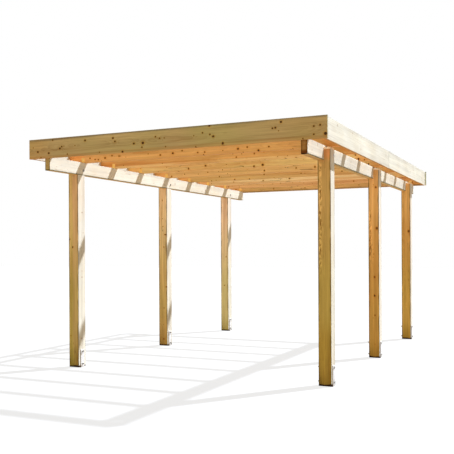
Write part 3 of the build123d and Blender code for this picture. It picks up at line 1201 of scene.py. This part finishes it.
class CARPORT_OT_shoe_bolts(bpy.types.Operator):
    """Add the bolts through the post shoes"""

    bl_idname = "carport.shoe_bolts"
    bl_label = "Add Shoe Bolts"

    def execute(self, context):
        sizes = context.scene.carport_fixings
        heads, nuts, outward = bolt_ends([
            (*across_frame(name), sum(box(name))[1] / 2, height)
            for name in SHOES for height in (sizes.shoe_bolt_low, sizes.shoe_bolt_high)
        ])
        flats = sizes.shoe_bolt_flats
        washer_radius = flats * 0.68
        head_forms, _ = nuts_on_washers(heads, outward, washer_radius, flats, height=7.5 * MM)
        nut_forms, seats = nuts_on_washers(nuts, -outward, washer_radius, flats, height=10 * MM)
        rods = copies(rod_end_form(radius=6 * MM, length=16.5 * MM), seats, -outward)
        add_piece("shoe_bolts", [*head_forms, *nut_forms, rods], "plated_bolts")
        return {"FINISHED"}


class CARPORT_OT_purlin_bolts(bpy.types.Operator):
    """Add the coach bolts that hold the purlins to the posts"""

    bl_idname = "carport.purlin_bolts"
    bl_label = "Add Purlin Bolts"

    def execute(self, context):
        sizes = context.scene.carport_fixings
        bolts = []
        for name in POSTS:
            purlin = name.split("_")[0] + "_purlin"
            side, outer, _ = across_frame(name)
            _, _, inner = across_frame(purlin)
            along = box(name)[1][1] - sizes.purlin_bolt_inset
            bolts.append((side, outer, inner, along, box(purlin)[0][2] + sizes.purlin_bolt_height))
        heads, nuts, outward = bolt_ends(bolts)
        domes = copies(dome_form(sizes.purlin_bolt_head / 2, height=5.5 * MM), heads, outward)
        nut_forms, seats = nuts_on_washers(
            nuts, -outward, washer_radius=14.5 * MM, flats=16 * MM, height=8.5 * MM)
        rods = copies(rod_end_form(radius=5 * MM, length=13.5 * MM), seats, -outward)
        add_piece("purlin_bolts", [domes, *nut_forms, rods], "plated_bolts")
        return {"FINISHED"}


# Nails in one angle bracket, in metres: across it, and up or out from its corner
UPRIGHT_NAILS = ((-0.010, 0.043), (0.010, 0.043), (-0.010, 0.022), (0.010, 0.022))
FLAT_NAILS = ((-0.010, 0.043), (0.010, 0.043), (0.0, 0.024))


class CARPORT_OT_bracket_nails(bpy.types.Operator):
    """Add the nails in the angle brackets"""

    bl_idname = "carport.bracket_nails"
    bl_label = "Add Bracket Nails"

    def execute(self, context):
        places, directions = [], []
        for row_name in BRACKETS:
            low, high = box(row_name)
            centre = (low[0] + high[0]) / 2
            side = math.copysign(1.0, centre)
            covered = RAFTERS[0] if side < 0 else RAFTERS[-1]
            for rafter_name in RAFTERS:
                way = -side if rafter_name == covered else side
                rafter_low, rafter_high = box(rafter_name)
                face = rafter_high[1] if way > 0 else rafter_low[1]
                for across, up in UPRIGHT_NAILS:
                    places.append((centre + across, face + way * BRACKET_PLATE, low[2] + up))
                    directions.append((0.0, way, 0.0))
                for across, out in FLAT_NAILS:
                    places.append((centre + across, face + way * out, low[2] + BRACKET_PLATE))
                    directions.append((0.0, 0.0, 1.0))
        radius = context.scene.carport_fixings.nail_head / 2
        nail = dome_form(radius, height=1.4 * MM, sides=12, rings=4)
        add_piece("bracket_nails", [copies(nail, places, directions)], "yellow_zinc")
        return {"FINISHED"}


class CARPORT_OT_stage(bpy.types.Operator):
    """Lay the floor and set the lamps and the camera"""

    bl_idname = "carport.stage"
    bl_label = "Set Stage"

    def execute(self, context):
        lay_floor(context.scene.carport_studio)
        set_lamps(context.scene.carport_studio)
        set_camera()
        context.scene.view_settings.view_transform = "Standard"
        return {"FINISHED"}


# ---- Panel and registration ----

OPERATORS = (
    CARPORT_OT_groups,
    CARPORT_OT_fascias,
    CARPORT_OT_beams,
    CARPORT_OT_posts,
    CARPORT_OT_steel,
    CARPORT_OT_shoe_bolts,
    CARPORT_OT_purlin_bolts,
    CARPORT_OT_bracket_nails,
    CARPORT_OT_stage,
)


class CARPORT_PT_panel(bpy.types.Panel):
    """Lists the steps that finish the carport"""

    bl_label = "Carport"
    bl_idname = "CARPORT_PT_panel"
    bl_space_type = "VIEW_3D"
    bl_region_type = "UI"
    bl_category = "Carport"

    def draw(self, context):
        for operator in OPERATORS:
            self.layout.operator(operator.bl_idname)
        for settings in (context.scene.carport_fixings, context.scene.carport_studio):
            column = self.layout.column()
            for key in settings.__annotations__:
                column.prop(settings, key)


CLASSES = (CARPORT_PG_fixings, CARPORT_PG_studio, *OPERATORS, CARPORT_PT_panel)


def register():
    for item in CLASSES:
        bpy.utils.register_class(item)
    bpy.types.Scene.carport_fixings = PointerProperty(type=CARPORT_PG_fixings)
    bpy.types.Scene.carport_studio = PointerProperty(type=CARPORT_PG_studio)


def unregister():
    del bpy.types.Scene.carport_studio
    del bpy.types.Scene.carport_fixings
    for item in reversed(CLASSES):
        bpy.utils.unregister_class(item)


def main():
    register()
    bpy.ops.carport.groups()
    bpy.ops.carport.fascias()
    bpy.ops.carport.beams()
    bpy.ops.carport.posts()
    bpy.ops.carport.steel()
    bpy.ops.carport.shoe_bolts()
    bpy.ops.carport.purlin_bolts()
    bpy.ops.carport.bracket_nails()
    bpy.ops.carport.stage()


if __name__ == "__main__":
    main()
